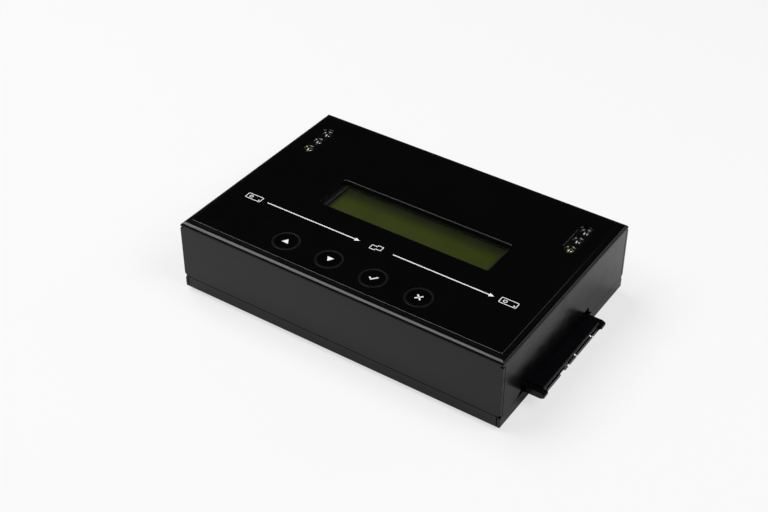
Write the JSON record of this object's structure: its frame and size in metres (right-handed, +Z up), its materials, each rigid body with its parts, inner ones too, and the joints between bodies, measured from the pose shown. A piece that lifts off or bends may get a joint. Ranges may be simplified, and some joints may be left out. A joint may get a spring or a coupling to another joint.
{
  "type": "hard drive duplicator",
  "caption": "Flat steel box with a character display, push keys and lamps on top, a drive receptacle at each end, and a power inlet and rocker switch at the back.",
  "frame": {"origin": "middle of the object's box on the plane that the feet stand on", "axes": "+X along the long side towards the target receptacle, +Y towards the back with the power inlet, +Z up"},
  "size_m": [0.1398, 0.0884, 0.0291],
  "materials": {
    "painted_steel": "black powder coat, fine grain",
    "gloss_film": "glossy black film",
    "clear_pane": "clear, glossy",
    "black_metal": "satin black",
    "display_green": "unlit olive-green display",
    "white_plastic": "milky diffuser",
    "board_green": "green solder mask",
    "key_plastic": "glossy black",
    "black_plastic": "satin black moulding",
    "zinc_steel": "zinc plated",
    "brass": "nickel-plated brass",
    "black_rubber": "matt black rubber",
    "chip_black": "matt epoxy",
    "aluminium": "drawn aluminium can",
    "lamp_yellow": "clear tinted epoxy, yellow",
    "lamp_green": "clear tinted epoxy, green",
    "lamp_red": "clear tinted epoxy, red"
  },
  "bodies": {
    "housing": {"top_cover": "painted_steel", "base_tray": "painted_steel", "graphic_overlay": "gloss_film", "display_window": "clear_pane", "lcd_bezel": "black_metal", "lcd_glass": "display_green", "lcd_backlight": "white_plastic", "panel_board": "board_green", "main_board": "board_green", "up_switch": "black_plastic", "down_switch": "black_plastic", "ok_switch": "black_plastic", "esc_switch": "black_plastic", "source_lamp_holder": "black_plastic", "source_lamp_front": "lamp_yellow", "source_lamp_middle": "lamp_green", "source_lamp_back": "lamp_red", "target_lamp_holder": "black_plastic", "target_lamp_front": "lamp_yellow", "target_lamp_middle": "lamp_green", "target_lamp_back": "lamp_red", "source_connector": "black_plastic", "target_connector": "black_plastic", "power_jack": "black_plastic", "power_switch": "black_plastic", "foot_1": "black_rubber", "case_screw_1": "zinc_steel", "board_post_1": "brass", "board_screw_1": "zinc_steel", "foot_2": "black_rubber", "case_screw_2": "zinc_steel", "board_post_2": "brass", "board_screw_2": "zinc_steel", "foot_3": "black_rubber", "case_screw_3": "zinc_steel", "board_post_3": "brass", "board_screw_3": "zinc_steel", "foot_4": "black_rubber", "case_screw_4": "zinc_steel", "board_post_4": "brass", "board_screw_4": "zinc_steel", "controller_chip": "chip_black", "memory_chip": "chip_black", "inductor": "chip_black", "capacitor": "aluminium", "crystal": "aluminium", "board_link": "black_plastic"},
    "up_button": {"up_key": "key_plastic", "up_plunger": "black_plastic"},
    "down_button": {"down_key": "key_plastic", "down_plunger": "black_plastic"},
    "ok_button": {"ok_key": "key_plastic", "ok_plunger": "black_plastic"},
    "esc_button": {"esc_key": "key_plastic", "esc_plunger": "black_plastic"},
    "rocker": {"power_rocker": "black_plastic"}
  },
  "joints": [
    {"name": "up_press", "type": "slide", "parent": "housing", "child": "up_button", "axis": [0, 0, -1], "range_m": [0, 0.0005], "stiffness_N_per_m": 1500, "springref_m": -0.0003},
    {"name": "down_press", "type": "slide", "parent": "housing", "child": "down_button", "axis": [0, 0, -1], "range_m": [0, 0.0005], "stiffness_N_per_m": 1500, "springref_m": -0.0003},
    {"name": "ok_press", "type": "slide", "parent": "housing", "child": "ok_button", "axis": [0, 0, -1], "range_m": [0, 0.0005], "stiffness_N_per_m": 1500, "springref_m": -0.0003},
    {"name": "esc_press", "type": "slide", "parent": "housing", "child": "esc_button", "axis": [0, 0, -1], "range_m": [0, 0.0005], "stiffness_N_per_m": 1500, "springref_m": -0.0003},
    {"name": "rocker_tilt", "type": "hinge", "parent": "housing", "child": "rocker", "pos_m": [-0.025, 0.04025, 0.0127], "axis": [0, 0, -1], "range_deg": [0, 20]}
  ]
}
